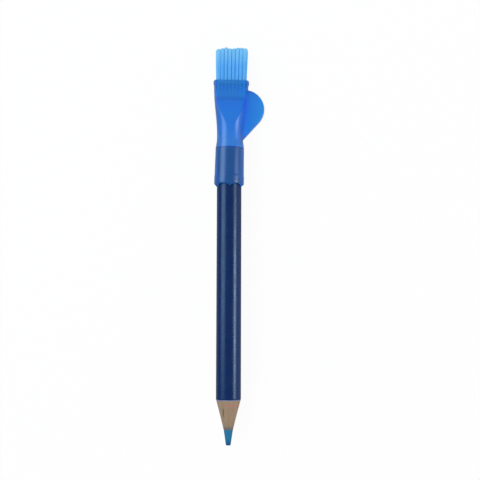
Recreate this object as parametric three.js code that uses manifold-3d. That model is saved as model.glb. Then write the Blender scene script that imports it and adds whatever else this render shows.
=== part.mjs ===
// Fabric marking pencil with a push-on brush cap, in millimetres.
// The pencil lies along Y with its brush at +Y, rolled until the fin of the cap touches the table at z = 0.
// Each piece is drawn in a frame of its own with the long axis on Y. The groups at the end place it.
import * as THREE from 'three';
import { mergeVertices } from 'three/addons/utils/BufferGeometryUtils.js';
import Module from 'manifold-3d';

const wasm = await Module();
wasm.setup();

// Pencil, measured from its point.
const pencilLength = 87.1;
const barrelRadius = 3.65;
const lacquerThickness = 0.09;
const coreRadius = 1.35;
const coreEnd = 4.5;
const pointRadius = 0.68;
const pointRound = 0.14;
const coneEnd = 12.9;
const coneStartSlope = 0.24;
const lacquerCutLength = 0.35;
const glueGap = 0.02;
const barrelSides = 48;
const coreSides = 24;

// Cap, measured from the corner of its rim.
const capLength = 31.1;
const rimRadius = 4.42;
const rimBandLength = 2.1;
const skirtRadius = 4.36;
const skirtEndRadius = 4.23;
const skirtEnd = 10.6;
const waistRadius = 3.91;
const waistAt = 14.25;
const mouthRadius = 5.14;
const flareEnd = 29.45;
const flatStart = 17;
const flatEnd = 25.3;
const mouthHalfThickness = 2.45;
const lipStart = 30;
const lipSlope = 0.2;
const lipHeight = 0.2;
const lipFlatHeight = 0.05;
const lipRound = 0.08;

// Inside of the cap.
const noseLength = 1;
const ribCount = 6;
const ribRadius = 3.74;
const ribTurn = THREE.MathUtils.degToRad(86);
const ribEnd = 2.8;
const fluteRadius = 4.2;
const fluteEnd = 1.9;
const boreRadius = 3.86;
const stopAt = 10.7;
const stopWall = 0.78;
const chamberWall = 0.62;
const chamberFlatWall = 0.55;
const chamberEnd = 25.7;
const pocketFloor = 26.1;
const pocketLedge = 0.25;
const pocketRadius = 4.56;
const pocketHalfThickness = 1.96;
const pocketLead = 0.12;
const capSides = 72;

// Fin of the cap.
const finCentre = new THREE.Vector2(4.27, 22.68);
const finRadius = 5.8;
const finFoot = 13.1;
const finThickness = 1.1;
const finRootThickness = 2.2;
const finRound = 0.3;
const finRootDepth = 0.4;
const finSteps = 24;

// Bristles.
const rowCount = 4;
const tuftCount = 8;
const tuftLines = [3, 4, 3];
const strandRadius = 0.1;
const strandPitch = 0.235;
const linePitch = 0.25;
const rowGap = 0.05;
const pocketGap = 0.04;
const glueDepth = 1.2;
const bristleTop = 41.6;
const bristleSpread = 0.07;
const tuftDome = 0.55;
const strandWobble = 0.25;

// How the cap sits on the pencil.
const rimAt = 76.55;
const capLean = THREE.MathUtils.degToRad(1.1);
const capPivot = 2.5;

const smooth = (value, from, to) => THREE.MathUtils.smoothstep(value, from, to);
const mix = THREE.MathUtils.lerp;

// Turns a closed geometry into a solid that can be joined and cut.
function toSolid(geometry) {
  const bare = geometry.clone();
  bare.deleteAttribute('normal');
  bare.deleteAttribute('uv');
  const merged = mergeVertices(bare, 1e-4);
  return new wasm.Manifold(new wasm.Mesh({
    numProp: 3,
    vertProperties: new Float32Array(merged.attributes.position.array),
    triVerts: new Uint32Array(merged.index.array),
  }));
}

function toGeometry(solid) {
  const mesh = solid.getMesh();
  const geometry = new THREE.BufferGeometry();
  geometry.setAttribute('position', new THREE.Float32BufferAttribute(mesh.vertProperties, 3));
  geometry.setIndex(Array.from(mesh.triVerts));
  geometry.computeVertexNormals();
  return geometry;
}

// Skins a list of rings with equal counts of points.
// The ends are closed with a point in their middle, or a looped skin runs on from the last ring to the first.
function loft(rings, looped = false) {
  const count = rings[0].length;
  const middle = (ring) => ring.reduce((sum, p) => sum.add(p), new THREE.Vector3()).divideScalar(count);
  const points = looped ? rings.flat() : [...rings.flat(), middle(rings[0]), middle(rings.at(-1))];
  const at = (ring, i) => (ring % rings.length) * count + (i % count);
  const bands = looped ? rings.length : rings.length - 1;
  const index = [];
  for (let i = 0; i < count; i += 1) {
    for (let ring = 0; ring < bands; ring += 1) {
      index.push(at(ring, i), at(ring, i + 1), at(ring + 1, i));
      index.push(at(ring, i + 1), at(ring + 1, i + 1), at(ring + 1, i));
    }
    if (!looped) {
      index.push(points.length - 2, at(0, i + 1), at(0, i));
      index.push(at(rings.length - 1, i), at(rings.length - 1, i + 1), points.length - 1);
    }
  }
  const geometry = new THREE.BufferGeometry().setFromPoints(points);
  geometry.setIndex(index);
  geometry.computeVertexNormals();
  return geometry;
}

// Steps of a quarter round: how far each is inset from the side, and how far it drops from the top.
function quarterRound(radius, steps) {
  return Array.from({ length: steps + 1 }, (_, i) => {
    const turn = (i / steps) * Math.PI / 2;
    return { inset: radius * (1 - Math.sin(turn)), drop: radius * (1 - Math.cos(turn)) };
  });
}

function spaced(from, to, steps) {
  return Array.from({ length: steps + 1 }, (_, i) => mix(from, to, i / steps));
}

function piece(name, geometry, color, roughness) {
  const material = new THREE.MeshStandardMaterial({ color, roughness, metalness: 0 });
  const mesh = new THREE.Mesh(geometry, material);
  mesh.name = name;
  return mesh;
}

// The sharpener leaves a slightly hollow cone, so the radius of the wood grows as a parabola.
const woodRadius = barrelRadius - lacquerThickness - glueGap;
const grooveRadius = coreRadius + glueGap;

function coneRadius(y) {
  const along = y - coreEnd;
  const whole = coneEnd - coreEnd;
  const bend = (woodRadius - grooveRadius - coneStartSlope * whole) / whole ** 2;
  return grooveRadius + coneStartSlope * along + bend * along ** 2;
}

function barrelRing() {
  const steps = 8;
  const outline = [];
  for (let i = 0; i <= steps; i += 1) {
    const y = mix(coreEnd, coneEnd, i / steps);
    outline.push(new THREE.Vector2(coneRadius(y), y));
  }
  outline.push(new THREE.Vector2(woodRadius, pencilLength));
  outline.push(new THREE.Vector2(grooveRadius, pencilLength));
  outline.push(outline[0].clone());
  return toSolid(new THREE.LatheGeometry(outline, barrelSides));
}

// One grooved slat: the part of the barrel on one side of the glue line.
function barrelHalf(side) {
  const block = new THREE.BoxGeometry(4 * barrelRadius, 3 * pencilLength, 4 * barrelRadius);
  block.translate(0, 0, side * (2 * barrelRadius + glueGap / 2));
  return toGeometry(barrelRing().intersect(toSolid(block)));
}

function markingCore() {
  const outline = [new THREE.Vector2(0, 0)];
  quarterRound(pointRound, 3).forEach(({ inset, drop }) => {
    outline.push(new THREE.Vector2(pointRadius - inset, drop));
  });
  outline.push(new THREE.Vector2(coreRadius, coreEnd));
  outline.push(new THREE.Vector2(coreRadius, pencilLength));
  outline.push(new THREE.Vector2(0, pencilLength));
  return new THREE.LatheGeometry(outline, coreSides);
}

function lacquerCoat() {
  const inner = barrelRadius - lacquerThickness;
  const outline = [
    new THREE.Vector2(inner, coneEnd),
    new THREE.Vector2(barrelRadius, coneEnd + lacquerCutLength),
    new THREE.Vector2(barrelRadius, pencilLength),
    new THREE.Vector2(inner, pencilLength),
  ];
  outline.push(outline[0].clone());
  return toGeometry(toSolid(new THREE.LatheGeometry(outline, barrelSides)));
}

// Outside of the cap: a round skirt, a waist, and a flare that two flats cut down to the mouth.
function outerRadius(t) {
  if (t <= rimBandLength) {
    return rimRadius;
  }
  if (t < skirtEnd) {
    const skirt = mix(skirtRadius, skirtEndRadius, (t - rimBandLength) / (skirtEnd - rimBandLength));
    return mix(rimRadius, skirt, smooth(t, rimBandLength, rimBandLength + 0.5));
  }
  if (t < waistAt) {
    return mix(skirtEndRadius, waistRadius, smooth(t, skirtEnd, waistAt - 1));
  }
  return mix(waistRadius, mouthRadius, smooth(t, waistAt, flareEnd));
}

function outerHalfThickness(t) {
  if (t <= flatStart) {
    return outerRadius(t);
  }
  return mix(outerRadius(flatStart), mouthHalfThickness, smooth(t, flatStart, flatEnd));
}

// A circle whose front and back are cut off flat.
function flattenedRing(y, radius, halfThickness) {
  return Array.from({ length: capSides }, (_, i) => {
    const turn = (i / capSides) * 2 * Math.PI;
    const z = THREE.MathUtils.clamp(radius * Math.sin(turn), -halfThickness, halfThickness);
    return new THREE.Vector3(radius * Math.cos(turn), y, z);
  });
}

// Radius of the socket at one angle: pointed ribs that grip the barrel, with flutes between them.
function socketRadius(turn, t) {
  const fade = Math.max(0, 1 - t / fluteEnd) ** 1.5;
  const flute = mix(boreRadius, fluteRadius, fade);
  const rib = mix(ribRadius, boreRadius, smooth(t, ribEnd - 1, ribEnd));
  const between = Math.abs(Math.sin((ribCount / 2) * (turn - ribTurn))) ** 0.8;
  return mix(rib, flute, between);
}

function socketRing(t) {
  return Array.from({ length: capSides }, (_, i) => {
    const turn = (i / capSides) * 2 * Math.PI;
    const r = socketRadius(turn, t);
    return new THREE.Vector3(r * Math.cos(turn), t, r * Math.sin(turn));
  });
}

// The nose of the rim is a cone. Where the flutes cut it, its edge turns into scallops and pointed teeth.
function noseRing() {
  return socketRing(0).map((point) => {
    const r = Math.hypot(point.x, point.z);
    const y = -noseLength * (rimRadius - r) / (rimRadius - ribRadius);
    return new THREE.Vector3(point.x, y, point.z);
  });
}

// A narrow bead round the mouth, which stands further out at the sides than on the flats.
function lipRings() {
  const radius = mouthRadius + lipHeight;
  const halfThickness = mouthHalfThickness + lipFlatHeight;
  return [
    ...quarterRound(lipRound, 3).map(({ inset, drop }) => (
      flattenedRing(capLength - drop, radius - inset, halfThickness - inset)
    )),
    flattenedRing(lipStart + lipSlope, radius, halfThickness),
    flattenedRing(lipStart, mouthRadius, mouthHalfThickness),
  ];
}

// Half the thickness of the hollow inside the flats.
function chamberHalfThickness(t, radius) {
  const wall = mix(chamberWall, chamberFlatWall, smooth(t, flatStart, flatEnd));
  return Math.min(radius, outerHalfThickness(t) - wall);
}

// The shell is one skin: down the outside from the mouth, up through the socket and the hollow,
// over the ledge that carries the bristles, and out through their pocket.
function capShell() {
  const pocket = [
    flattenedRing(chamberEnd, pocketRadius - pocketLedge, pocketHalfThickness - pocketLedge),
    flattenedRing(pocketFloor, pocketRadius - pocketLedge, pocketHalfThickness - pocketLedge),
    flattenedRing(pocketFloor, pocketRadius, pocketHalfThickness),
    flattenedRing(capLength - pocketLead, pocketRadius, pocketHalfThickness),
    flattenedRing(capLength, pocketRadius + pocketLead, pocketHalfThickness + pocketLead),
  ];
  const stations = [
    ...spaced(flareEnd, flatEnd, 2),
    ...spaced(flatEnd, flatStart, 7).slice(1),
    ...spaced(flatStart, waistAt, 2).slice(1),
    ...spaced(waistAt, skirtEnd, 4).slice(1),
    ...spaced(rimBandLength + 0.5, rimBandLength, 1),
    0,
  ];
  const outside = stations.map((t) => flattenedRing(t, outerRadius(t), outerHalfThickness(t)));
  const socket = [noseRing(), ...[0, 0.4, 0.9, 1.4, fluteEnd, ribEnd, stopAt].map(socketRing)];
  const chamber = [stopAt, waistAt, ...spaced(flatStart, chamberEnd, 6)].map((t) => {
    const radius = outerRadius(t) - mix(stopWall, chamberWall, smooth(t, stopAt, waistAt));
    return flattenedRing(t, radius, chamberHalfThickness(t, radius));
  });
  return loft([...pocket, ...lipRings(), ...outside, ...socket, ...chamber], true);
}

// The fin's edge is a round that runs out in a straight line to the waist. Its root lies in the wall.
function finOutline() {
  const root = (t) => new THREE.Vector2(outerRadius(t) - finRootDepth, t);
  const foot = root(finFoot);
  const toFoot = foot.clone().sub(finCentre);
  const tangentTurn = toFoot.angle() + Math.acos(finRadius / toFoot.length());
  const topTurn = Math.acos((mouthRadius - finRootDepth - finCentre.x) / finRadius);
  const edge = spaced(tangentTurn - 2 * Math.PI, topTurn, finSteps).map((turn) => (
    new THREE.Vector2(Math.cos(turn), Math.sin(turn)).multiplyScalar(finRadius).add(finCentre)
  ));
  const rootLine = spaced(edge.at(-1).y, finFoot, 8).slice(1).map(root);
  return [...edge, ...rootLine];
}

// The fin thins from its root at the body to its edge.
function finHalfThickness(point) {
  const reach = finCentre.x + finRadius - outerRadius(finCentre.y);
  return mix(finRootThickness, finThickness, (point.x - outerRadius(point.y)) / reach) / 2;
}

// The outline moved inwards by an inset, a drop below the front or above the back of the fin.
function finRing(outline, side, { inset, drop }) {
  return outline.map((point, i) => {
    const along = outline[(i + 1) % outline.length].clone().sub(outline.at(i - 1)).normalize();
    const z = side * (finHalfThickness(point) - drop);
    return new THREE.Vector3(point.x - along.y * inset, point.y + along.x * inset, z);
  });
}

function finPlate() {
  const outline = finOutline();
  const edge = quarterRound(finRound, 2);
  const front = edge.map((step) => finRing(outline, 1, step));
  const back = edge.map((step) => finRing(outline, -1, step));
  return loft([...back, ...front.reverse()]);
}

function brushCap() {
  return toGeometry(toSolid(capShell()).add(toSolid(finPlate())));
}

// A slice of the glue bed between two heights, as wide as the round-ended pocket lets it be.
function glueSlice(low, high) {
  const radius = pocketRadius - pocketGap;
  const from = Math.asin(low / radius);
  const to = Math.asin(high / radius);
  const outline = new THREE.Shape();
  outline.absarc(0, 0, radius, from, to, false);
  outline.absarc(0, 0, radius, Math.PI - to, Math.PI - from, false);
  outline.closePath();
  const settings = { depth: glueDepth, bevelEnabled: false, curveSegments: 6 };
  const slice = new THREE.ExtrudeGeometry(outline, settings);
  slice.rotateX(Math.PI / 2);
  slice.translate(0, pocketFloor + pocketGap + glueDepth, 0);
  return slice;
}

// One straight three-sided strand from the glue to its tip, leaning out with the spread of the brush.
function strand(x, z, topDrop) {
  const rootY = pocketFloor + pocketGap + glueDepth / 2;
  const foot = new THREE.Vector3(x, rootY, z);
  const tip = new THREE.Vector3(x * (1 + bristleSpread), bristleTop - topDrop, z * (1 + bristleSpread));
  const along = tip.clone().sub(foot);
  const prism = new THREE.CylinderGeometry(strandRadius, strandRadius, along.length(), 3, 1);
  prism.translate(0, along.length() / 2, 0);
  const lean = new THREE.Quaternion().setFromUnitVectors(THREE.Object3D.DEFAULT_UP, along.normalize());
  prism.applyQuaternion(lean);
  prism.translate(foot.x, foot.y, foot.z);
  return prism;
}

// One row of tufts on its slice of the glue bed. A tuft holds three lines of strands with a domed top.
function bristleRow(row) {
  const rowThickness = 2 * (pocketHalfThickness - pocketGap) / rowCount;
  const low = -(pocketHalfThickness - pocketGap) + row * rowThickness;
  const middle = low + rowThickness / 2;
  const widest = Math.max(...tuftLines);
  const tuftHalfWidth = strandPitch * (widest - 1) / 2;
  const farSide = Math.abs(middle) + linePitch + strandRadius;
  const chord = Math.sqrt((pocketRadius - pocketGap) ** 2 - farSide ** 2);
  const reach = chord - tuftHalfWidth - 2 * strandRadius;
  let solid = toSolid(glueSlice(low, low + rowThickness - rowGap));
  for (let tuft = 0; tuft < tuftCount; tuft += 1) {
    const tuftX = mix(-reach, reach, tuft / (tuftCount - 1));
    tuftLines.forEach((count, line) => {
      const z = middle - rowGap / 2 + (line - 1) * linePitch;
      for (let i = 0; i < count; i += 1) {
        const x = (i - (count - 1) / 2) * strandPitch;
        const dome = tuftDome * (x / tuftHalfWidth) ** 2;
        const wobble = strandWobble * THREE.MathUtils.seededRandom(1 + i + 7 * line + 31 * tuft + 257 * row);
        solid = solid.add(toSolid(strand(tuftX + x, z, dome + wobble)));
      }
    });
  }
  return toGeometry(solid);
}

function pencilGroup() {
  const group = new THREE.Group();
  group.add(piece('barrel_half_front', barrelHalf(1), 0xb29a76, 0.8));
  group.add(piece('barrel_half_back', barrelHalf(-1), 0xb29a76, 0.8));
  group.add(piece('marking_core', markingCore(), 0x2a6ea0, 0.7));
  group.add(piece('lacquer_coat', lacquerCoat(), 0x10305f, 0.25));
  return group;
}

// The cap leans a little on the barrel, about a point just inside its rim.
function capGroup() {
  const moulding = new THREE.Group();
  moulding.position.y = -capPivot;
  moulding.add(piece('brush_cap', brushCap(), 0x2d73dc, 0.3));
  for (let row = 0; row < rowCount; row += 1) {
    moulding.add(piece(`bristle_row_${row + 1}`, bristleRow(row), 0x5aa5f5, 0.5));
  }
  const group = new THREE.Group();
  group.position.y = rimAt + capPivot;
  group.rotation.z = -capLean;
  group.add(moulding);
  return group;
}

// The roll that lays both the rim and the rounded edge of the fin on the table.
function restingRoll() {
  const leanShift = (finCentre.y - capPivot) * Math.sin(capLean);
  const edgeX = finCentre.x + finRadius - finRound + leanShift;
  const edgeZ = finThickness / 2 - finRound;
  return Math.asin((rimRadius - finRound) / Math.hypot(edgeX, edgeZ)) - Math.atan2(edgeZ, edgeX);
}

const assembly = new THREE.Group();
assembly.add(pencilGroup(), capGroup());
assembly.rotation.y = restingRoll();
assembly.updateMatrixWorld(true);

// The origin is under the middle of the whole pencil, on the table.
const box = new THREE.Box3().setFromObject(assembly, true);
const centre = box.getCenter(new THREE.Vector3());
assembly.position.set(-centre.x, -centre.y, -box.min.z);

const group = new THREE.Group();
group.add(assembly);
group.updateMatrixWorld(true);

export default group;
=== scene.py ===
import math

import bmesh
import bpy
from mathutils import Matrix, Vector


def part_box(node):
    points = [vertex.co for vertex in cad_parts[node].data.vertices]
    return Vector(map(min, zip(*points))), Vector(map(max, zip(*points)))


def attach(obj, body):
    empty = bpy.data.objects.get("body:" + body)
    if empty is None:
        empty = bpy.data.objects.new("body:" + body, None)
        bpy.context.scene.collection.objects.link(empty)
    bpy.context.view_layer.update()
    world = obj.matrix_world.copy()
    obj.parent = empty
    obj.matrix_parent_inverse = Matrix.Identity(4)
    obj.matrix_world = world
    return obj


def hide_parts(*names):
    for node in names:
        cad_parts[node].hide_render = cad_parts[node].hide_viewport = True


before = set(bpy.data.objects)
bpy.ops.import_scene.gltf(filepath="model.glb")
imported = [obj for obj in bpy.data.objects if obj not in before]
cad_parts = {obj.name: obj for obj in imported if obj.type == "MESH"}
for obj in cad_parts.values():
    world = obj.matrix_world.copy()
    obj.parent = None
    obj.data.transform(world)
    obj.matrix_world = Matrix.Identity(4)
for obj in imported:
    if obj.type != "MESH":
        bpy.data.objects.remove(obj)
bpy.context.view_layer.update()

# Sizes are in millimetres. The pencil is drawn upright on Y from its point, and the cap upright on Y from the
# corner of its rim.
MM = 0.001
MERGE_DISTANCE = 0.0001 * MM
SLIVER_WIDTH = 0.00001 * MM
BUMP_DEPTH = 0.1 * MM
SHARP_ANGLE = math.radians(35)

PENCIL_LENGTH = 87.1
BARREL_RADIUS = 3.65
LACQUER_THICKNESS = 0.09
CORE_RADIUS = 1.35
CORE_END = 4.5
POINT_RADIUS = 0.68
POINT_ROUND = 0.14
CONE_END = 12.9
CONE_START_SLOPE = 0.24
LACQUER_CUT = 0.35
PRIMER_SHARE = 0.62
GLUE_GAP = 0.02
BARREL_SIDES = 160
CORE_SIDES = 64
ROUND_STEPS = 5

CAP_LENGTH = 31.1
RIM_RADIUS = 4.42
RIM_BAND = 2.1
RIM_CORNER = ((0.03, 0.03), (-0.06, 0.1))
SKIRT_RADIUS = 4.36
SKIRT_END_RADIUS = 4.23
SKIRT_END = 10.6
WAIST_RADIUS = 3.91
WAIST_AT = 14.25
MOUTH_RADIUS = 5.14
FLARE_END = 29.45
FLAT_START = 17.0
FLAT_END = 25.3
MOUTH_HALF_THICKNESS = 2.45
FLAT_EDGE_ROUND = 0.3
LIP_START = 30.0
LIP_SLOPE = 0.2
LIP_HEIGHT = 0.2
LIP_FLAT_HEIGHT = 0.05
LIP_ROUND = 0.08
NOSE_LENGTH = 1.0
RIB_COUNT = 6
RIB_RADIUS = 3.74
RIB_TURN = math.radians(86)
RIB_END = 2.8
FLUTE_RADIUS = 4.2
FLUTE_END = 1.9
BORE_RADIUS = 3.86
STOP_AT = 10.7
STOP_WALL = 0.78
CHAMBER_WALL = 0.62
CHAMBER_FLAT_WALL = 0.55
CHAMBER_END = 25.7
POCKET_FLOOR = 26.1
POCKET_LEDGE = 0.25
POCKET_RADIUS = 4.56
POCKET_HALF_THICKNESS = 1.96
POCKET_LEAD = 0.12
POCKET_CORNER = 0.04
LEDGE_WALL = 0.74
LEDGE_SLOPE = 4.0
CAP_SIDES = 168

FIN_CENTRE = Vector((4.27, 22.68))
FIN_RADIUS = 5.8
FIN_FOOT = 13.1
FIN_THICKNESS = 1.1
FIN_ROOT_THICKNESS = 2.2
FIN_ROUND = 0.3
FIN_FILLET = 0.55
FIN_ROOT_DEPTH = 0.4
# Painted shade: how much of the glossy coat is left on the body beside the fin.
COAT_IN_FIN_SHADE = 0.45

RIM_AT = 76.55
CAP_LEAN = math.radians(1.1)
CAP_PIVOT = 2.5

BRISTLE_ROOT = 26.2
BRISTLE_TOP = 41.6
GLUE_DEPTH = 3.2
GLUE_CLEARANCE = 0.04
TUFT_PITCH = 1.08
STRAND_STEPS = 8
STRAND_SIDES = 6
SPIRAL_TURN = math.pi * (3 - math.sqrt(5))

# The inputs of the bristles' node tree. Trim, Dome and Wobble shorten the strands, and Uneven whole columns
# of tufts. Splay widens each tuft towards its tips, and Spread the whole brush.
BRISTLE_SIZES = {
    "Tufts Across": 8, "Tufts Deep": 4, "Width": 7.84, "Depth": 2.84, "Tuft Radius": 0.49,
    "Strands": 40, "Strand Radius": 0.085, "Length": BRISTLE_TOP - BRISTLE_ROOT,
    "Trim": 0.26, "Dome": 0.25, "Wobble": 0.4, "Uneven": 0.033, "Column Seed": 296,
    "Splay": 0.22, "Spread": 0.075, "Bend": 0.06, "Pocket Radius": POCKET_RADIUS, "Seed": 7,
}

# The brush is cut a little shorter from the first of these places across it to the second, at its left edge.
LEFT_CUT = (-2.6, -3.9)
LEFT_CUT_SHARE = 0.985

# The camera stands over the pencil, tipped a little towards its point.
CAMERA_DISTANCE = 290.0
CAMERA_TILT = math.radians(5.35)
CAMERA_AIM = Vector((3.27, 59.91, 0.0))
CAMERA_ROLL = math.radians(0.14)
FOCAL_IN_FRAMES = 979 / 480
SENSOR_WIDTH = 36.0

# The half width of the floor and how far it lies below the part, both in metres.
FLOOR_REACH = 3.0
FLOOR_DROP = 0.03 * MM

# How bright the white floor and room look in the gloss of the pieces.
FLOOR_IN_GLOSS = 0.25
ROOM_IN_GLOSS = 0.04


def resting_roll():
    """The roll about the long axis at which the rim and the fin of the cap both touch the table."""
    shift = (FIN_CENTRE.y - CAP_PIVOT) * math.sin(CAP_LEAN)
    edge_x = FIN_CENTRE.x + FIN_RADIUS - FIN_ROUND + shift
    edge_z = FIN_THICKNESS / 2 - FIN_ROUND
    return math.asin((RIM_RADIUS - FIN_ROUND) / math.hypot(edge_x, edge_z)) - math.atan2(edge_z, edge_x)


def pencil_place():
    """From the pencil's own millimetres to the frame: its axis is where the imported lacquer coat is."""
    low, high = (Vector(corner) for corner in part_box("lacquer_coat"))
    point = Vector(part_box("marking_core")[0])
    origin = Vector(((low.x + high.x) / 2, point.y, (low.z + high.z) / 2))
    return Matrix.Translation(origin) @ Matrix.Rotation(resting_roll(), 4, "Y") @ Matrix.Scale(MM, 4)


def cap_place(pencil):
    """The cap leans a little on the barrel, about a point just inside its rim."""
    pivot = Matrix.Translation((0, RIM_AT + CAP_PIVOT, 0)) @ Matrix.Rotation(-CAP_LEAN, 4, "Z")
    return pencil @ pivot @ Matrix.Translation((0, -CAP_PIVOT, 0))


PENCIL = pencil_place()
CAP = cap_place(PENCIL)


def mix(a, b, share):
    return a + (b - a) * share


def smooth(value, start, end):
    share = min(1.0, max(0.0, (value - start) / (end - start)))
    return share * share * (3 - 2 * share)


def spaced(start, end, steps):
    return [mix(start, end, i / steps) for i in range(steps + 1)]


def quarter_round(radius, steps):
    """Pairs of inset from the side and drop from the top, along a quarter round."""
    turns = spaced(0, math.pi / 2, steps)
    return [(radius * (1 - math.sin(turn)), radius * (1 - math.cos(turn))) for turn in turns]


def skin(rings, ends="cap"):
    """Points and faces over a list of closed rings: capped at both ends, or the last joined to the first."""
    count = len(rings[0])
    points = [point for ring in rings for point in ring]
    faces = []
    bands = len(rings) if ends == "join" else len(rings) - 1
    for band in range(bands):
        here, there = band * count, (band + 1) % len(rings) * count
        for i in range(count):
            j = (i + 1) % count
            faces.append((here + i, here + j, there + j, there + i))
    if ends == "cap":
        for ring, start in ((rings[0], 0), (rings[-1], len(points) - count)):
            points.append(sum((Vector(p) for p in ring), Vector()) / count)
            faces += [(start + i, start + (i + 1) % count, len(points) - 1) for i in range(count)]
    return points, faces


def circle(radius, y, sides):
    turns = [2 * math.pi * i / sides for i in range(sides)]
    return [Vector((radius * math.cos(turn), y, radius * math.sin(turn))) for turn in turns]


def make_mesh(name, points, faces, place):
    """A mesh in the frame's metres, with its doubles merged and its faces turned outwards."""
    mesh = bpy.data.meshes.new(name)
    mesh.from_pydata([place @ Vector(p) for p in points], [], faces)
    work = bmesh.new()
    work.from_mesh(mesh)
    bmesh.ops.remove_doubles(work, verts=work.verts, dist=MERGE_DISTANCE)
    bmesh.ops.dissolve_degenerate(work, edges=work.edges, dist=SLIVER_WIDTH)
    bmesh.ops.recalc_face_normals(work, faces=work.faces)
    work.to_mesh(mesh)
    work.free()
    return mesh


def make_piece(name, mesh, material):
    mesh.name = name
    mesh.materials.clear()
    mesh.materials.append(material)
    mesh.shade_smooth()
    mesh.set_sharp_from_angle(angle=SHARP_ANGLE)
    piece = bpy.data.objects.new(name, mesh)
    bpy.context.collection.objects.link(piece)
    return piece


def finished_mesh(piece):
    """The mesh that the piece's modifiers make, as a plain mesh of its own."""
    graph = bpy.context.evaluated_depsgraph_get()
    return bpy.data.meshes.new_from_object(piece.evaluated_get(graph), depsgraph=graph)


# Shader building blocks


def new_material(name):
    material = bpy.data.materials.new(name)
    material.use_nodes = True
    tree = material.node_tree
    tree.nodes.clear()
    output = tree.nodes.new("ShaderNodeOutputMaterial")
    shader = tree.nodes.new("ShaderNodeBsdfPrincipled")
    tree.links.new(shader.outputs["BSDF"], output.inputs["Surface"])
    return material, tree, shader


def add_node(tree, kind, values=None, **settings):
    """A node with its settings, and with its inputs set to numbers or linked to sockets."""
    node = tree.nodes.new(kind)
    for key, value in settings.items():
        setattr(node, key, value)
    for key, value in (values or {}).items():
        if isinstance(value, bpy.types.NodeSocket):
            tree.links.new(value, node.inputs[key])
        else:
            node.inputs[key].default_value = value
    return node


def own_coordinates(tree, place):
    """Object coordinates turned back into the piece's own millimetres."""
    location, rotation, scale = place.inverted().decompose()
    source = add_node(tree, "ShaderNodeTexCoord")
    values = {"Vector": source.outputs["Object"], "Location": location,
              "Rotation": rotation.to_euler("XYZ"), "Scale": scale}
    return add_node(tree, "ShaderNodeMapping", values).outputs["Vector"]


def stretched(tree, vector, scale):
    return add_node(tree, "ShaderNodeMapping", {"Vector": vector, "Scale": scale}).outputs["Vector"]


def noise(tree, vector, scale, detail=3.0, roughness=0.5):
    values = {"Vector": vector, "Scale": scale, "Detail": detail, "Roughness": roughness}
    return add_node(tree, "ShaderNodeTexNoise", values).outputs["Fac"]


def ranged(tree, value, low, high, to_low=0.0, to_high=1.0):
    values = {"Value": value, "From Min": low, "From Max": high, "To Min": to_low, "To Max": to_high}
    return add_node(tree, "ShaderNodeMapRange", values).outputs["Result"]


def maths(tree, operation, a, b=0.0):
    return add_node(tree, "ShaderNodeMath", {0: a, 1: b}, operation=operation).outputs["Value"]


def vector_maths(tree, operation, a, b):
    return add_node(tree, "ShaderNodeVectorMath", {0: a, 1: b}, operation=operation).outputs["Vector"]


def combined(tree, x, y, z):
    return add_node(tree, "ShaderNodeCombineXYZ", {"X": x, "Y": y, "Z": z}).outputs["Vector"]


def separated(tree, vector):
    return add_node(tree, "ShaderNodeSeparateXYZ", {"Vector": vector}).outputs


def mixed_number(tree, share, a, b):
    """A number between two others. The Mix node has its numbers at sockets 2 and 3."""
    return add_node(tree, "ShaderNodeMix", {0: share, 2: a, 3: b}, data_type="FLOAT").outputs[0]


def blended(tree, share, a, b):
    """A colour between two others, each three numbers or a socket. The Mix node has colours at 6 and 7."""
    node = add_node(tree, "ShaderNodeMix", {0: share}, data_type="RGBA")
    for key, value in ((6, a), (7, b)):
        if isinstance(value, bpy.types.NodeSocket):
            tree.links.new(value, node.inputs[key])
        else:
            node.inputs[key].default_value = (*value, 1.0)
    return node.outputs[2]


def bumped(tree, height, strength):
    values = {"Height": height, "Strength": strength, "Distance": BUMP_DEPTH}
    return add_node(tree, "ShaderNodeBump", values).outputs["Normal"]


def material_output(tree):
    return next(node for node in tree.nodes if node.type == "OUTPUT_MATERIAL")


def handled_surface():
    """Shared group: the soft waviness and hairline scratches of a smooth surface that has been handled."""
    group = bpy.data.node_groups.new("handled_surface", "ShaderNodeTree")
    sockets = {"Vector": "NodeSocketVector", "Waviness": "NodeSocketFloat", "Scratches": "NodeSocketFloat",
               "Roughness": "NodeSocketFloat"}
    for name, kind in sockets.items():
        group.interface.new_socket(name, in_out="INPUT", socket_type=kind)
    group.interface.new_socket("Roughness", in_out="OUTPUT", socket_type="NodeSocketFloat")
    group.interface.new_socket("Normal", in_out="OUTPUT", socket_type="NodeSocketVector")
    given = add_node(group, "NodeGroupInput").outputs
    vector = given["Vector"]
    along = noise(group, stretched(group, vector, (9.0, 0.35, 9.0)), 1.0, 2.0)
    across = noise(group, stretched(group, vector, (1.2, 7.0, 1.2)), 1.0, 2.0)
    lines = maths(group, "MAXIMUM", ranged(group, along, 0.66, 0.72), ranged(group, across, 0.68, 0.74))
    scratches = maths(group, "MULTIPLY", maths(group, "MULTIPLY", lines, given["Scratches"]), 0.12)
    smudge = ranged(group, noise(group, vector, 0.35), 0.35, 0.7, -0.03, 0.05)
    rough = maths(group, "ADD", given["Roughness"], maths(group, "ADD", smudge, scratches))
    waves = maths(group, "MULTIPLY", noise(group, vector, 0.5, 2.0), given["Waviness"])
    relief = maths(group, "SUBTRACT", waves, scratches)
    values = {"Roughness": rough, "Normal": bumped(group, relief, 0.12)}
    add_node(group, "NodeGroupOutput", values)
    return group


def give_handled_surface(tree, shader, surface, own, waviness, scratches, roughness):
    """Puts the shared group in a material, with the material's own values."""
    values = {"Vector": own, "Waviness": waviness, "Scratches": scratches, "Roughness": roughness}
    finish = add_node(tree, "ShaderNodeGroup", values, node_tree=surface)
    for name in ("Roughness", "Normal"):
        tree.links.new(finish.outputs[name], shader.inputs[name])


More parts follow.
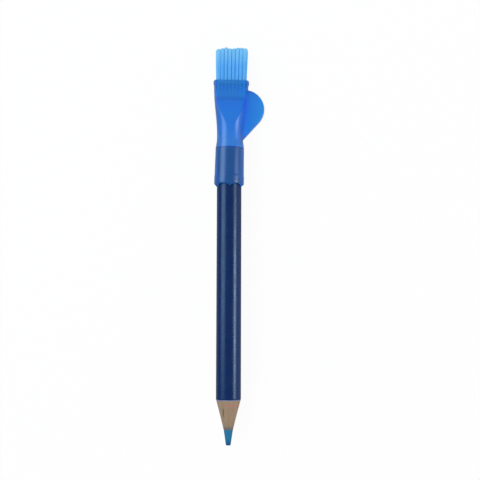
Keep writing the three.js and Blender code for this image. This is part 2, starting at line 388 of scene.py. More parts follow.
def navy_lacquer(surface):
    """Glossy dark blue paint, with a tone that varies a little along the barrel."""
    material, tree, shader = new_material("navy_lacquer")
    own = own_coordinates(tree, PENCIL)
    give_handled_surface(tree, shader, surface, own, waviness=0.2, scratches=0.25, roughness=0.28)
    tone = ranged(tree, noise(tree, stretched(tree, own, (1.0, 0.08, 1.0)), 1.2), 0.3, 0.7)
    colour = blended(tree, tone, (0.0, 0.0170, 0.105), (0.0005, 0.020, 0.120))
    tree.links.new(colour, shader.inputs["Base Color"])
    shader.inputs["IOR"].default_value = 1.55
    shader.inputs["Specular IOR Level"].default_value = 1.0
    shader.inputs["Specular Tint"].default_value = (0.52, 0.74, 1.0, 1.0)
    return material


def primer_edge():
    """The pale undercoat that shows as a line where the sharpener has cut through the paint."""
    material, tree, shader = new_material("primer_edge")
    own = own_coordinates(tree, PENCIL)
    colour = blended(tree, noise(tree, own, 4.0), (0.15, 0.18, 0.36), (0.28, 0.31, 0.52))
    tree.links.new(colour, shader.inputs["Base Color"])
    shader.inputs["Roughness"].default_value = 0.7
    return material


def pencil_wood():
    """Bare sharpened wood: fibres along the pencil, paler and darker bands, and greyer towards the core."""
    material, tree, shader = new_material("pencil_wood")
    own = own_coordinates(tree, PENCIL)
    bands = noise(tree, stretched(tree, own, (1.0, 0.07, 1.0)), 0.9, 4.0, 0.6)
    fibres = noise(tree, stretched(tree, own, (9.0, 0.5, 9.0)), 1.0, 5.0, 0.65)
    colour = blended(tree, ranged(tree, bands, 0.3, 0.7), (0.302, 0.209, 0.130), (0.398, 0.282, 0.182))
    colour = blended(tree, ranged(tree, fibres, 0.5, 0.75, 0.0, 0.55), colour, (0.20, 0.145, 0.085))
    apart = separated(tree, own)
    across, height = apart["X"], apart["Y"]

    def patch(across_at, across_half, height_at, height_half, strength):
        """A soft-edged patch about one place on the cone."""
        beside = maths(tree, "ABSOLUTE", maths(tree, "SUBTRACT", across, across_at))
        above = maths(tree, "ABSOLUTE", maths(tree, "SUBTRACT", height, height_at))
        wide = ranged(tree, beside, across_half, across_half * 0.4, 0.0, strength)
        return maths(tree, "MULTIPLY", wide, ranged(tree, above, height_half, height_half * 0.4))

    reddish = patch(0.8, 2.4, CONE_END - 1.3, 0.6, 0.75)
    colour = blended(tree, reddish, colour, (0.43, 0.20, 0.17))
    dark_fleck = patch(-1.45, 0.3, 9.4, 1.6, 0.7)
    colour = blended(tree, dark_fleck, colour, (0.10, 0.07, 0.04))
    # Greyer towards the core, and darker still just beside it.
    greying_to_core = ranged(tree, height, CORE_END + 2.6, CORE_END, 0.0, 0.35)
    colour = blended(tree, greying_to_core, colour, (0.18, 0.16, 0.14))
    darkening_by_core = ranged(tree, height, CORE_END + 1.1, CORE_END + 0.5, 0.0, 0.6)
    colour = blended(tree, darkening_by_core, colour, (0.11, 0.115, 0.13))
    tree.links.new(colour, shader.inputs["Base Color"])
    cut = noise(tree, stretched(tree, own, (1.6, 5.0, 1.6)), 1.0, 2.0)
    relief = maths(tree, "ADD", fibres, maths(tree, "MULTIPLY", cut, 0.4))
    tree.links.new(bumped(tree, relief, 0.55), shader.inputs["Normal"])
    shader.inputs["Roughness"].default_value = 0.72
    return material


def marking_core():
    """Waxy chalk: an even blue with grains and faint rings where the sharpener scraped it."""
    material, tree, shader = new_material("marking_core")
    own = own_coordinates(tree, PENCIL)
    grains = noise(tree, own, 6.0, 4.0, 0.65)
    scrape = noise(tree, stretched(tree, own, (0.6, 5.0, 0.6)), 1.0, 2.0)
    colour = blended(tree, ranged(tree, grains, 0.35, 0.7), (0.009, 0.154, 0.316), (0.018, 0.205, 0.392))
    at_point = ranged(tree, separated(tree, own)["Y"], 2.0, 0.1, 0.0, 0.95)
    colour = blended(tree, at_point, colour, (0.0, 0.07, 0.25))
    tree.links.new(colour, shader.inputs["Base Color"])
    relief = maths(tree, "ADD", grains, maths(tree, "MULTIPLY", scrape, 0.7))
    tree.links.new(bumped(tree, relief, 0.6), shader.inputs["Normal"])
    shader.inputs["Roughness"].default_value = 0.55
    shader.inputs["Specular IOR Level"].default_value = 0.2
    return material


def cap_plastic(surface):
    """Translucent blue moulding: a frosted body that light crosses, with a glossy skin on the outside."""
    material, tree, shader = new_material("cap_plastic")
    own = own_coordinates(tree, CAP)
    give_handled_surface(tree, shader, surface, own, waviness=0.8, scratches=0.4, roughness=0.36)
    flow = ranged(tree, noise(tree, stretched(tree, own, (0.8, 0.15, 0.8)), 0.8), 0.3, 0.7)
    colour = blended(tree, flow, (0.06, 0.595, 0.975), (0.08, 0.635, 0.975))
    apart = separated(tree, own)
    across, height = apart["X"], apart["Y"]
    # Painted light: the neck above the stop is painted paler where light shines through the hollow.
    neck_painted_light = ranged(tree, height, STOP_AT + 7.0, STOP_AT + 1.0)
    colour = blended(tree, neck_painted_light, colour, (0.17, 0.70, 0.96))
    # Painted light: the wall over the pocket is painted paler, standing in for light that the bristles inside
    # would get.
    pocket_painted_light = ranged(tree, height, CHAMBER_END - 0.6, CHAMBER_END + 0.6)
    colour = blended(tree, pocket_painted_light, colour, (0.07, 0.73, 1.0))
    # Painted shade: the fin is painted darker for the shadow that the body and fin cast on the floor seen
    # through it.
    fin_painted_shade = ranged(tree, across, 4.7, 5.4)
    colour = blended(tree, fin_painted_shade, colour, (0.08, 0.57, 0.87))
    # Painted shade: darker stripes over the roots stand in for the shaded gaps between the tufts inside.
    over_tuft = maths(tree, "COSINE", maths(tree, "MULTIPLY", across, 2 * math.pi / TUFT_PITCH))
    at_roots = ranged(tree, height, CAP_LENGTH - 4.4, CAP_LENGTH - 2.6, 0.0, 0.55)
    tuft_gap_painted_shade = maths(tree, "MULTIPLY", ranged(tree, over_tuft, -0.4, 1.0), at_roots)
    colour = blended(tree, tuft_gap_painted_shade, colour, (0.0, 0.40, 0.86))
    # Painted highlight: the lip is painted paler where its edge catches the light.
    lip_painted_highlight = ranged(tree, height, LIP_START - 0.1, LIP_START + 0.2)
    colour = blended(tree, lip_painted_highlight, colour, (0.08, 0.75, 1.0))
    # Painted shade: the skirt over the socket is painted darker, as shade from the dark barrel inside it.
    socket_painted_shade = ranged(tree, height, STOP_AT + 0.4, STOP_AT - 0.8)
    colour = blended(tree, socket_painted_shade, colour, (0.02, 0.465, 0.95))
    # Painted shadow: a dark ring where the pencil's end meets the stop, seen through the wall.
    from_stop = maths(tree, "ABSOLUTE", maths(tree, "SUBTRACT", height, STOP_AT - 0.1))
    colour = blended(tree, ranged(tree, from_stop, 0.32, 0.08), colour, (0.02, 0.22, 0.55))
    tree.links.new(colour, shader.inputs["Base Color"])
    # The coat is full outside and none in the hollow, with less beside the fin as painted shade.
    coat_and_fin_shade = add_node(tree, "ShaderNodeAttribute", attribute_name="outside").outputs["Fac"]
    tree.links.new(coat_and_fin_shade, shader.inputs["Coat Weight"])
    shader.inputs["IOR"].default_value = 1.4
    shader.inputs["Transmission Weight"].default_value = 0.85
    shader.inputs["Specular IOR Level"].default_value = 0.3
    shader.inputs["Specular Tint"].default_value = (0.35, 0.6, 1.0, 1.0)
    shader.inputs["Coat IOR"].default_value = 1.74
    shader.inputs["Coat Roughness"].default_value = 0.3
    tint = add_node(tree, "ShaderNodeVolumeAbsorption", {"Color": (0.0, 0.72, 1.0, 1.0), "Density": 2000.0})
    tree.links.new(tint.outputs["Volume"], material_output(tree).inputs["Volume"])
    return material


def bristle_nylon():
    """Blue nylon filaments, each with a shade of its own and paler at the tips; painted light pales the
    roots.
    """
    material, tree, shader = new_material("bristle_nylon")
    shade = add_node(tree, "ShaderNodeAttribute", attribute_name="strand_shade").outputs["Fac"]
    along = add_node(tree, "ShaderNodeAttribute", attribute_name="along").outputs["Fac"]
    colour = blended(tree, shade, (0.08, 0.45, 1.0), (0.13, 0.53, 1.0))
    at_tip = ranged(tree, along, 0.6, 1.0, 0.0, 0.6)
    colour = blended(tree, at_tip, colour, (0.34, 0.8, 1.0))
    # Painted light: the roots inside the pocket are painted paler for light that they would get through the
    # wall.
    root_painted_light = ranged(tree, along, 0.34, 0.24)
    colour = blended(tree, root_painted_light, colour, (0.14, 0.80, 1.0))
    tree.links.new(colour, shader.inputs["Base Color"])
    shader.inputs["Roughness"].default_value = 0.35
    shader.inputs["IOR"].default_value = 1.5
    return material


def bristle_glue():
    """The blue glue that holds the roots of the bristles."""
    material, tree, shader = new_material("bristle_glue")
    own = own_coordinates(tree, CAP)
    colour = blended(tree, noise(tree, own, 2.0), (0.14, 0.64, 1.0), (0.16, 0.68, 1.0))
    tree.links.new(colour, shader.inputs["Base Color"])
    shader.inputs["Roughness"].default_value = 0.4
    return material


# Pencil


def cone_radius(y):
    """The sharpener leaves a slightly hollow cone, so the radius of the wood grows as a parabola."""
    wood = BARREL_RADIUS - LACQUER_THICKNESS - GLUE_GAP
    groove = CORE_RADIUS + GLUE_GAP
    along, whole = y - CORE_END, CONE_END - CORE_END
    bend = (wood - groove - CONE_START_SLOPE * whole) / whole**2
    return groove + CONE_START_SLOPE * along + bend * along**2


def barrel_half(name, side, material):
    """One grooved slat: its section is turned through half a circle and closed with the two glue faces."""
    outline = [(cone_radius(y), y) for y in spaced(CORE_END, CONE_END, 40)]
    outline += [(outline[-1][0], PENCIL_LENGTH), (CORE_RADIUS + GLUE_GAP, PENCIL_LENGTH)]
    lift = side * GLUE_GAP / 2
    rings = []
    for turn in spaced(0, math.pi, BARREL_SIDES // 2):
        rings.append([Vector((r * math.cos(turn), y, side * r * math.sin(turn) + lift)) for r, y in outline])
    piece = make_piece(name, make_mesh(name, *skin(rings), PENCIL), material)
    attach(piece, "pencil")
    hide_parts(name)
    return piece


def core_piece(material):
    """The marking core from its blunt point to the far end of the pencil."""
    outline = [(POINT_RADIUS - inset, drop) for inset, drop in quarter_round(POINT_ROUND, ROUND_STEPS)]
    outline += [(mix(POINT_RADIUS, CORE_RADIUS, y / CORE_END), y) for y in spaced(0.5, CORE_END, 8)]
    outline += [(CORE_RADIUS, PENCIL_LENGTH)]
    rings = [circle(radius, y, CORE_SIDES) for radius, y in outline]
    piece = make_piece("chalk_core", make_mesh("chalk_core", *skin(rings), PENCIL), material)
    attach(piece, "pencil")
    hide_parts("marking_core")
    return piece


def ragged(turn):
    """Small uneven steps that a sharpener leaves along the cut edge of the paint."""
    return 0.05 * math.sin(7 * turn + 1.0) + 0.035 * math.sin(17 * turn) + 0.025 * math.sin(41 * turn + 2.0)


def cut_ring(radius, y):
    """A ring of the paint's sharpened edge, which runs on unevenly but never back over the cone."""
    ring = circle(radius, y, BARREL_SIDES)
    return [Vector((p.x, y + max(0.0, ragged(math.atan2(p.z, p.x))), p.z)) for p in ring]


def lacquer_piece(paint, primer):
    """A sleeve of paint. The sharpened edge shows the undercoat as a thin sloping band."""
    inner = BARREL_RADIUS - LACQUER_THICKNESS
    between = mix(inner, BARREL_RADIUS, PRIMER_SHARE)
    cut_end = CONE_END + LACQUER_CUT
    rings = [
        cut_ring(inner, CONE_END),
        cut_ring(between, CONE_END + LACQUER_CUT * PRIMER_SHARE),
        cut_ring(BARREL_RADIUS - 0.015, cut_end),
    ]
    rings += [circle(BARREL_RADIUS, cut_end + beyond, BARREL_SIDES) for beyond in (0.12, 0.3)]
    rings += [circle(BARREL_RADIUS, PENCIL_LENGTH - before, BARREL_SIDES) for before in (0.3, 0.05)]
    rings += [circle(radius, PENCIL_LENGTH, BARREL_SIDES) for radius in (BARREL_RADIUS - 0.03, inner)]
    mesh = make_mesh("lacquer", *skin(rings, ends="join"), PENCIL)
    piece = make_piece("lacquer", mesh, paint)
    mesh.materials.append(primer)
    local = PENCIL.inverted()
    for face in mesh.polygons:
        centre = local @ face.center
        if centre.y < cut_end and math.hypot(centre.x, centre.z) < between:
            face.material_index = 1
    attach(piece, "pencil")
    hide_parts("lacquer_coat")
    return piece


# Cap


def outer_radius(t):
    """Outside of the cap: a rim band, a tapering skirt, a shoulder down to the waist, and the flare."""
    if t < SKIRT_END:
        skirt = mix(SKIRT_RADIUS, SKIRT_END_RADIUS, max(0.0, t - RIM_BAND) / (SKIRT_END - RIM_BAND))
        return mix(RIM_RADIUS, skirt, smooth(t, RIM_BAND, RIM_BAND + 0.5))
    if t < WAIST_AT:
        return mix(SKIRT_END_RADIUS, WAIST_RADIUS, smooth(t, SKIRT_END, WAIST_AT - 1))
    return mix(WAIST_RADIUS, MOUTH_RADIUS, smooth(t, WAIST_AT, FLARE_END))


def outer_half_thickness(t):
    if t <= FLAT_START:
        return outer_radius(t)
    return mix(outer_radius(FLAT_START), MOUTH_HALF_THICKNESS, smooth(t, FLAT_START, FLAT_END))


def soft_min(a, b, blend):
    """The smaller of two values, rounded where they cross."""
    share = min(1.0, max(0.0, 0.5 + 0.5 * (b - a) / blend))
    return mix(b, a, share) - blend * share * (1 - share) / 2


def section(y, radius, half_thickness):
    """A circle whose front and back are cut off flat, with the edges of the cut rounded."""
    ring = []
    for i in range(CAP_SIDES):
        turn = 2 * math.pi * i / CAP_SIDES
        z = radius * math.sin(turn)
        blend = min(FLAT_EDGE_ROUND, 4 * max(0.0, radius - half_thickness))
        if blend > 0:
            z = math.copysign(max(0.0, soft_min(abs(z), half_thickness, blend)), z)
        ring.append(Vector((radius * math.cos(turn), y, z)))
    return ring


def body_section(t, inset=0.0, flat_inset=0.0):
    """The body's own section at one height, or a smaller one inside its wall."""
    radius = outer_radius(t) - inset
    return section(t, radius, min(radius, outer_half_thickness(t) - flat_inset))


def socket_radius(turn, t):
    """The socket at one angle: pointed ribs that grip the barrel, with flutes between them."""
    flute = mix(BORE_RADIUS, FLUTE_RADIUS, max(0.0, 1 - t / FLUTE_END) ** 1.5)
    rib = mix(RIB_RADIUS, BORE_RADIUS, smooth(t, RIB_END - 1, RIB_END))
    return mix(rib, flute, abs(math.sin(RIB_COUNT / 2 * (turn - RIB_TURN))) ** 0.8)


def socket_ring(t, nose=False):
    """One ring of the socket. The nose ring is where the socket cuts the cone in front of the rim."""
    ring = []
    for i in range(CAP_SIDES):
        turn = 2 * math.pi * i / CAP_SIDES
        r = socket_radius(turn, t)
        y = -NOSE_LENGTH * ((RIM_RADIUS - r) / (RIM_RADIUS - RIB_RADIUS)) ** 1.7 if nose else t
        ring.append(Vector((r * math.cos(turn), y, r * math.sin(turn))))
    return ring


def lip_rings():
    """The mouth's rim: a narrow bead that stands a little proud of the body."""
    radius, thick = MOUTH_RADIUS + LIP_HEIGHT, MOUTH_HALF_THICKNESS + LIP_FLAT_HEIGHT
    rings = [
        section(CAP_LENGTH - drop, radius - inset, thick - inset)
        for inset, drop in quarter_round(LIP_ROUND, ROUND_STEPS)
    ]
    for t in spaced(LIP_START + LIP_SLOPE, LIP_START, 6):
        rise = smooth(t, LIP_START, LIP_START + LIP_SLOPE)
        half_thickness = MOUTH_HALF_THICKNESS + LIP_FLAT_HEIGHT * rise
        rings.append(section(t, MOUTH_RADIUS + LIP_HEIGHT * rise, half_thickness))
    return rings


def pocket_rings():
    """The pocket for the bristles, from the ledge that carries them up to the lead at its mouth."""
    levels = (
        (POCKET_FLOOR, -POCKET_LEDGE), (POCKET_FLOOR, -POCKET_CORNER), (POCKET_FLOOR + POCKET_CORNER, 0),
        (CAP_LENGTH - POCKET_LEAD, 0), (CAP_LENGTH, POCKET_LEAD))
    return [section(y, POCKET_RADIUS + grow, POCKET_HALF_THICKNESS + grow) for y, grow in levels]


def outside_rings():
    """The outside from the lip down to the corner of the rim, with more rings where it curves more."""
    stations = spaced(LIP_START - 0.2, WAIST_AT - 4, 64) + spaced(WAIST_AT - 5, RIM_BAND + 0.9, 6)
    stations += spaced(RIM_BAND + 0.6, RIM_BAND - 0.1, 7) + spaced(RIM_BAND - 0.4, 0.12, 3)
    rings = [body_section(t) for t in stations]
    for y, inset in RIM_CORNER:
        rings.append(section(y, RIM_RADIUS - inset, RIM_RADIUS - inset))
    return rings


def inside_rings():
    """The ribbed socket up to the stop, then the hollow above it, which closes towards the ledge."""
    rings = [socket_ring(0, nose=True)] + [socket_ring(t) for t in spaced(0.15, RIB_END, 12)]
    rings += [socket_ring(t) for t in (5.0, 8.0, STOP_AT - 0.15, STOP_AT)]
    for t in [STOP_AT, STOP_AT + 0.3] + spaced(STOP_AT + 1, CHAMBER_END, 36):
        wall = mix(STOP_WALL, CHAMBER_WALL, smooth(t, STOP_AT, WAIST_AT))
        flat_wall = mix(wall, CHAMBER_FLAT_WALL, smooth(t, FLAT_START, FLAT_END))
        closing = smooth(t, CHAMBER_END - LEDGE_SLOPE, CHAMBER_END)
        rings.append(body_section(t, mix(wall, LEDGE_WALL, closing), mix(flat_wall, LEDGE_WALL, closing)))
    return rings


def shell_rings():
    return pocket_rings() + lip_rings() + outside_rings() + inside_rings()


def fin_foot():
    return Vector((outer_radius(FIN_FOOT) - FIN_ROOT_DEPTH, FIN_FOOT))


def fin_tangent():
    """The turn at which the straight part of the fin's edge, drawn from its foot, meets the round part."""
    to_foot = fin_foot() - FIN_CENTRE
    return math.atan2(to_foot.y, to_foot.x) + math.acos(FIN_RADIUS / to_foot.length)


def fin_edge():
    """The fin's edge from its foot at the waist along a straight line and a round up to the body."""
    top = math.acos((MOUTH_RADIUS - FIN_ROOT_DEPTH / 3 - FIN_CENTRE.x) / FIN_RADIUS)
    turns = spaced(fin_tangent(), top, 60)
    arc = [FIN_CENTRE + FIN_RADIUS * Vector((math.cos(turn), math.sin(turn))) for turn in turns]
    return [fin_foot().lerp(arc[0], i / 24) for i in range(1, 24)] + arc


def edge_distance(point):
    """How far a point of the fin is from its outer edge."""
    turn = fin_tangent()
    outward = Vector((math.cos(turn), math.sin(turn)))
    along = (point - FIN_CENTRE).dot(Vector((outward.y, -outward.x)))
    if along > 0:
        return max(0.0, FIN_RADIUS - (point - FIN_CENTRE).dot(outward))
    return max(0.0, FIN_RADIUS - (point - FIN_CENTRE).length)


def fin_half_thickness(point):
    """Half the fin's thickness at a point: full, rounded off at the edge, and swept into the body."""
    body = outer_radius(point.y)
    widest = FIN_CENTRE.x + FIN_RADIUS - outer_radius(FIN_CENTRE.y)
    beyond_body = min(1.0, max(0.0, point.x - body) / widest)
    half = mix(FIN_ROOT_THICKNESS, FIN_THICKNESS, beyond_body) / 2
    edge = min(FIN_ROUND, edge_distance(point))
    half -= FIN_ROUND - math.sqrt(FIN_ROUND**2 - (FIN_ROUND - edge) ** 2)
    fillet_z = FIN_ROOT_THICKNESS / 2 + FIN_FILLET
    fillet_x = math.sqrt((body + FIN_FILLET) ** 2 - min(fillet_z, body) ** 2)
    reach = min(FIN_FILLET * 0.92, max(0.0, fillet_x - point.x))
    sweep = FIN_FILLET - math.sqrt(FIN_FILLET**2 - reach**2)
    return half + sweep * smooth(edge_distance(point), 0.1, 1.2)


def fin_mesh():
    """The fin as lines from its root in the wall out to its edge, front and back."""
    shares = [share**1.4 for share in spaced(0, 1, 26)][:-1] + [0.985, 0.996, 1.0]
    rings = []
    for edge in fin_edge():
        root = Vector((outer_radius(edge.y) - FIN_ROOT_DEPTH, edge.y))
        line = [root.lerp(edge, share) for share in shares]
        front = [Vector((p.x, p.y, fin_half_thickness(p))) for p in line]
        back = [Vector((p.x, p.y, -fin_half_thickness(p))) for p in reversed(line)]
        rings.append(front + back)
    return make_mesh("fin", *skin(rings), CAP)


def mark_outside(mesh):
    """Marks each point's glossy coat: full outside, less by the fin as painted shade, none in the hollow."""
    outside = mesh.attributes.new("outside", "FLOAT", "POINT")
    local = CAP.inverted()
    for vertex, mark in zip(mesh.vertices, outside.data):
        spot = local @ vertex.co
        normal = local.to_3x3() @ vertex.normal
        # Painted shade: the coat fades on the body beside the fin, where the fin shades it.
        fin_shade = smooth(spot.x / math.hypot(spot.x, spot.z), 0.6, 0.85) * smooth(spot.y, 13, 16)
        fin_shade *= 1 - smooth(spot.x, 5.0, 6.0)
        faces_out = spot.x * normal.x + spot.z * normal.z > 0
        mark.value = mix(1.0, COAT_IN_FIN_SHADE, fin_shade) if faces_out else 0.0


def cap_piece(material):
    """The whole moulding: the hollow shell with the fin joined to it."""
    shell = make_piece("cap", make_mesh("cap", *skin(shell_rings(), ends="join"), CAP), material)
    fin = make_piece("fin", fin_mesh(), material)
    join = shell.modifiers.new("join", "BOOLEAN")
    join.operation = "UNION"
    join.solver = "MANIFOLD"
    join.object = fin
    mesh = finished_mesh(shell)
    bpy.data.objects.remove(shell)
    bpy.data.objects.remove(fin)
    piece = make_piece("moulded_cap", mesh, material)
    mark_outside(mesh)
    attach(piece, "cap")
    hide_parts("brush_cap")
    return piece


# Bristles


def random_share(tree, values):
    """A random number from 0 to 1 for each point."""
    return add_node(tree, "FunctionNodeRandomValue", values, data_type="FLOAT").outputs[1]


def strand_tuft(tree, given):
    """One upright tuft: strands of uneven lengths set in a spiral, and wider apart towards their tips."""
    line = add_node(tree, "GeometryNodeCurvePrimitiveLine", {"End": (0, 0, 1)})
    values = {"Curve": line.outputs["Curve"], "Count": STRAND_STEPS}
    steps = add_node(tree, "GeometryNodeResampleCurve", values)
    values = {"Resolution": STRAND_SIDES, "Radius": given["Strand Radius"]}
    profile = add_node(tree, "GeometryNodeCurvePrimitiveCircle", values)
    values = {"Curve": steps.outputs["Curve"], "Profile Curve": profile.outputs["Curve"], "Fill Caps": True}
    strand = add_node(tree, "GeometryNodeCurveToMesh", values)

    index = add_node(tree, "GeometryNodeInputIndex").outputs["Index"]
    share = maths(tree, "DIVIDE", maths(tree, "ADD", index, 0.5), given["Strands"])
    radius = maths(tree, "MULTIPLY", maths(tree, "SQRT", share), given["Tuft Radius"])
    turn = maths(tree, "MULTIPLY", index, SPIRAL_TURN)
    x = maths(tree, "MULTIPLY", radius, maths(tree, "COSINE", turn))
    y = maths(tree, "MULTIPLY", radius, maths(tree, "SINE", turn))
    values = {"Count": given["Strands"], "Position": combined(tree, x, y, 0.0)}
    points = add_node(tree, "GeometryNodePoints", values)
    wobble = maths(tree, "MULTIPLY", random_share(tree, {"Seed": given["Seed"]}), given["Wobble"])
    drop = maths(tree, "ADD", maths(tree, "MULTIPLY", share, given["Dome"]), wobble)
    length = maths(tree, "SUBTRACT", given["Length"], maths(tree, "ADD", drop, given["Trim"]))
    values = {
        "Points": points.outputs[0], "Instance": strand.outputs["Mesh"],
        "Scale": combined(tree, 1.0, 1.0, length)}
    strands = add_node(tree, "GeometryNodeInstanceOnPoints", values)

    shade = random_share(tree, {"Seed": maths(tree, "ADD", given["Seed"], 3)})
    values = {"Geometry": strands.outputs["Instances"], "Name": "strand_shade", "Value": shade}
    shaded = add_node(tree, "GeometryNodeStoreNamedAttribute", values, data_type="FLOAT", domain="INSTANCE")
    tuft = add_node(tree, "GeometryNodeRealizeInstances", {"Geometry": shaded.outputs["Geometry"]})
    place = add_node(tree, "GeometryNodeInputPosition").outputs["Position"]
    up = maths(tree, "DIVIDE", separated(tree, place)["Z"], given["Length"])
    wider = maths(tree, "ADD", 1.0, maths(tree, "MULTIPLY", up, given["Splay"]))
    splayed = vector_maths(tree, "MULTIPLY", place, combined(tree, wider, wider, 1.0))
    values = {"Geometry": tuft.outputs["Geometry"], "Position": splayed}
    return add_node(tree, "GeometryNodeSetPosition", values).outputs["Geometry"]


def tuft_grid(tree, given, tuft):
    """The tufts in a grid, each turned at random, with every column of them cut to a height of its own."""
    values = {
        "Size X": given["Width"], "Size Y": given["Depth"],
        "Vertices X": given["Tufts Across"], "Vertices Y": given["Tufts Deep"]}
    grid = add_node(tree, "GeometryNodeMeshGrid", values)
    spin = random_share(tree, {"Seed": maths(tree, "ADD", given["Seed"], 5)})
    index = add_node(tree, "GeometryNodeInputIndex").outputs["Index"]
    column = maths(tree, "FLOOR", maths(tree, "DIVIDE", maths(tree, "ADD", index, 0.5), given["Tufts Deep"]))
    lower = random_share(tree, {"ID": column, "Seed": given["Column Seed"]})
    height = maths(tree, "SUBTRACT", 1.0, maths(tree, "MULTIPLY", lower, given["Uneven"]))
    values = {
        "Points": grid.outputs["Mesh"], "Instance": tuft,
        "Rotation": combined(tree, 0.0, 0.0, maths(tree, "MULTIPLY", spin, 2 * math.pi)),
        "Scale": combined(tree, 1.0, 1.0, height)}
    tufts = add_node(tree, "GeometryNodeInstanceOnPoints", values)
    values = {"Geometry": tufts.outputs["Instances"]}
    return add_node(tree, "GeometryNodeRealizeInstances", values).outputs["Geometry"]


def fanned_brush(tree, given, brush):
    """The brush spread towards its tips, shorter at its left edge, narrower front and back, and bent."""
    position = add_node(tree, "GeometryNodeInputPosition").outputs["Position"]
    apart = separated(tree, position)
    up = maths(tree, "DIVIDE", apart["Z"], given["Length"])
    values = {"Geometry": brush, "Name": "along", "Value": up}
    marked = add_node(tree, "GeometryNodeStoreNamedAttribute", values, data_type="FLOAT", domain="POINT")
    deep = maths(tree, "DIVIDE", apart["Y"], given["Pocket Radius"])
    narrowing = maths(tree, "SQRT", maths(tree, "SUBTRACT", 1.0, maths(tree, "MULTIPLY", deep, deep)))
    fan = maths(tree, "ADD", 1.0, maths(tree, "MULTIPLY", up, given["Spread"]))
    x = maths(tree, "MULTIPLY", maths(tree, "MULTIPLY", apart["X"], narrowing), fan)
    y = maths(tree, "MULTIPLY", apart["Y"], fan)
    z = maths(tree, "MULTIPLY", apart["Z"], ranged(tree, apart["X"], *LEFT_CUT, 1.0, LEFT_CUT_SHARE))
    along_strands = vector_maths(tree, "MULTIPLY", position, (1.0, 1.0, 0.12))
    values = {"Vector": along_strands, "Scale": 1.6, "Detail": 2.0}
    wave = add_node(tree, "ShaderNodeTexNoise", values).outputs["Color"]
    centred = vector_maths(tree, "SUBTRACT", wave, (0.5, 0.5, 0.5))
    amount = maths(tree, "MULTIPLY", maths(tree, "MULTIPLY", up, up), given["Bend"])
    bend = add_node(tree, "ShaderNodeVectorMath", {0: centred, "Scale": amount}, operation="SCALE")
    sideways = vector_maths(tree, "MULTIPLY", bend.outputs["Vector"], (4.0, 4.0, 0.0))
    values = {
        "Geometry": marked.outputs["Geometry"], "Position": combined(tree, x, y, z), "Offset": sideways}
    return add_node(tree, "GeometryNodeSetPosition", values).outputs["Geometry"]


def bristle_tree(material):
    """The node tree of the whole brush, upright on Z, with its sizes as named inputs."""
    tree = bpy.data.node_groups.new("bristle_tufts", "GeometryNodeTree")
    tree.interface.new_socket("Geometry", in_out="OUTPUT", socket_type="NodeSocketGeometry")
    for name, value in BRISTLE_SIZES.items():
        kind = "NodeSocketInt" if isinstance(value, int) else "NodeSocketFloat"
        tree.interface.new_socket(name, in_out="INPUT", socket_type=kind)
    given = add_node(tree, "NodeGroupInput").outputs
    brush = fanned_brush(tree, given, tuft_grid(tree, given, strand_tuft(tree, given)))
    coated = add_node(tree, "GeometryNodeSetMaterial", {"Geometry": brush, "Material": material})
    add_node(tree, "NodeGroupOutput", {"Geometry": coated.outputs["Geometry"]})
    return tree


def bristle_piece(material):
    """The strands that the node tree grows, as a plain mesh that stands on the ledge of the pocket."""
    tree = bristle_tree(material)
    holder = bpy.data.objects.new("bristle_roots", bpy.data.meshes.new("bristle_roots"))
    bpy.context.collection.objects.link(holder)
    grow = holder.modifiers.new("grow", "NODES")
    grow.node_group = tree
    sockets = {item.name: item.identifier for item in tree.interface.items_tree if item.in_out == "INPUT"}
    for name, value in BRISTLE_SIZES.items():
        grow[sockets[name]] = value
    mesh = finished_mesh(holder)
    bpy.data.objects.remove(holder)
    stand = Matrix.Translation((0, BRISTLE_ROOT, 0)) @ Matrix.Rotation(math.radians(-90), 4, "X")
    mesh.transform(CAP @ stand)
    mesh.shade_smooth()
    piece = bpy.data.objects.new("bristles", mesh)
    bpy.context.collection.objects.link(piece)
    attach(piece, "cap")
    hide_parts("bristle_row_1", "bristle_row_2", "bristle_row_3", "bristle_row_4")
    return piece


def glue_piece(material):
    """The bed of glue that fills the bottom of the pocket round the roots of the bristles."""
    base = POCKET_FLOOR + GLUE_CLEARANCE
    top = base + GLUE_DEPTH
    rings = []
    for y, edge in ((base, 0.05), (base + 0.05, 0), (top, 0), (top - 0.12, 0.2)):
        inset = GLUE_CLEARANCE + edge
        rings.append(section(y, POCKET_RADIUS - inset, POCKET_HALF_THICKNESS - inset))
    piece = make_piece("glue_bed", make_mesh("glue_bed", *skin(rings), CAP), material)
    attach(piece, "cap")
    return piece


# Studio


def aimed(obj, target, up):
    """Turns a camera or lamp to look at a target with its top towards up."""
    back = (obj.location - target).normalized()
    right = up.cross(back).normalized()
    turn = Matrix((right, back.cross(right), back)).transposed()
    obj.rotation_euler = turn.to_euler()


def make_camera():
    """A long lens over the pencil, at the distance that the taper of the barrel in the photo gives."""
    data = bpy.data.cameras.new("camera")
    data.sensor_width = SENSOR_WIDTH
    data.lens = SENSOR_WIDTH * FOCAL_IN_FRAMES
    data.clip_start = 0.01
    camera = bpy.data.objects.new("camera", data)
    bpy.context.collection.objects.link(camera)
    offset = Vector((0, -math.sin(CAMERA_TILT), math.cos(CAMERA_TILT))) * CAMERA_DISTANCE
    camera.location = PENCIL @ (CAMERA_AIM + offset)
    up = Vector((-math.sin(CAMERA_ROLL), math.cos(CAMERA_ROLL), 0))
    aimed(camera, PENCIL @ CAMERA_AIM, PENCIL.to_3x3() @ up)
    bpy.context.scene.camera = camera


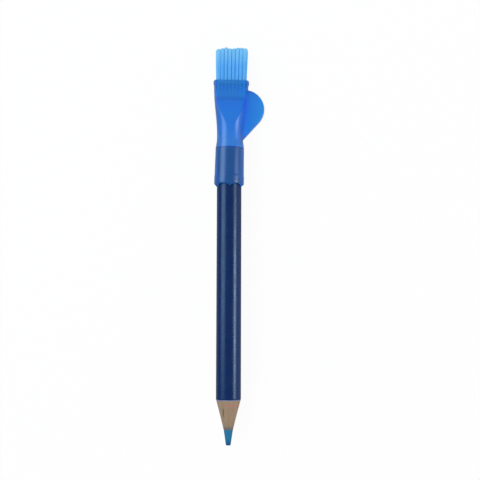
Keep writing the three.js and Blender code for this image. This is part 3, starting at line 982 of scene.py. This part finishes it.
def softbox(name, off_axis, width, length, distance, radiance, middle_at, colour):
    """A long softbox beside the pencil, off_axis degrees round from the view, to the left if negative.

    Its size and distance are in metres, and middle_at is its place along the pencil in millimetres.
    """
    data = bpy.data.lights.new(name, "AREA")
    data.shape = "RECTANGLE"
    data.size, data.size_y = width, length
    data.energy = radiance * math.pi * width * length
    data.color = colour
    lamp = bpy.data.objects.new(name, data)
    bpy.context.collection.objects.link(lamp)
    middle = Vector((0, middle_at, 0))
    turn = math.radians(off_axis)
    lamp.location = PENCIL @ (Vector((math.sin(turn), 0, math.cos(turn))) * distance / MM + middle)
    aimed(lamp, PENCIL @ middle, Vector((0, 1, 0)))


def make_world(ambient):
    """Even studio light, white where the camera looks past the floor and dim in the gloss of the pieces."""
    world = bpy.data.worlds.new("studio")
    bpy.context.scene.world = world
    world.use_nodes = True
    tree = world.node_tree
    tree.nodes.clear()
    path = add_node(tree, "ShaderNodeLightPath").outputs
    seen = maths(tree, "MAXIMUM", path["Is Camera Ray"], path["Is Transmission Ray"])
    strength = mixed_number(tree, path["Is Glossy Ray"], ambient, ROOM_IN_GLOSS)
    strength = mixed_number(tree, seen, strength, 1.0)
    background = add_node(tree, "ShaderNodeBackground", {"Color": (1, 1, 1, 1), "Strength": strength})
    add_node(tree, "ShaderNodeOutputWorld", {"Surface": background.outputs["Background"]})


def make_floor(shadow_share):
    """White paper. Most of what the camera sees of it is plain white, and the rest keeps the shadow."""
    mesh = bpy.data.meshes.new("floor")
    corners = [(FLOOR_REACH * x, FLOOR_REACH * y, 0) for x, y in ((-1, -1), (1, -1), (1, 1), (-1, 1))]
    mesh.from_pydata(corners, [], [(0, 1, 2, 3)])
    floor = bpy.data.objects.new("floor", mesh)
    floor.location.z = -FLOOR_DROP
    bpy.context.collection.objects.link(floor)
    material, tree, shader = new_material("floor_paper")
    shader.inputs["Base Color"].default_value = (0.9, 0.9, 0.9, 1)
    shader.inputs["Roughness"].default_value = 0.9
    path = add_node(tree, "ShaderNodeLightPath").outputs
    seen = maths(tree, "MAXIMUM", path["Is Camera Ray"], path["Is Transmission Ray"])
    seen = maths(tree, "MAXIMUM", seen, path["Is Glossy Ray"])
    mirrored = maths(tree, "SUBTRACT", path["Is Glossy Ray"], path["Is Transmission Ray"])
    strength = mixed_number(tree, maths(tree, "MAXIMUM", mirrored, 0.0), 1.0, FLOOR_IN_GLOSS)
    glow = add_node(tree, "ShaderNodeEmission", {"Color": (1, 1, 1, 1), "Strength": strength})
    share = maths(tree, "MULTIPLY", seen, 1 - shadow_share)
    values = {0: share, 1: shader.outputs["BSDF"], 2: glow.outputs["Emission"]}
    both = add_node(tree, "ShaderNodeMixShader", values)
    tree.links.new(both.outputs["Shader"], material_output(tree).inputs["Surface"])
    mesh.materials.append(material)


def make_studio():
    make_camera()
    make_world(ambient=0.8)
    make_floor(shadow_share=0.06)
    softbox("softbox_left", off_axis=-55, width=0.34, length=0.64, distance=0.5, radiance=1.74,
            middle_at=330, colour=(0.8, 0.92, 1.0))
    softbox("softbox_right", off_axis=65, width=0.28, length=0.16, distance=0.5, radiance=5.3,
            middle_at=54, colour=(1.0, 0.94, 0.93))
    bpy.context.scene.view_settings.view_transform = "Standard"


def make_pencil(surface):
    wood = pencil_wood()
    barrel_half("barrel_half_front", 1, wood)
    barrel_half("barrel_half_back", -1, wood)
    core_piece(marking_core())
    lacquer_piece(navy_lacquer(surface), primer_edge())


def make_cap(surface):
    cap_piece(cap_plastic(surface))
    bristle_piece(bristle_nylon())
    glue_piece(bristle_glue())


make_studio()
shared_surface = handled_surface()
make_pencil(shared_surface)
make_cap(shared_surface)
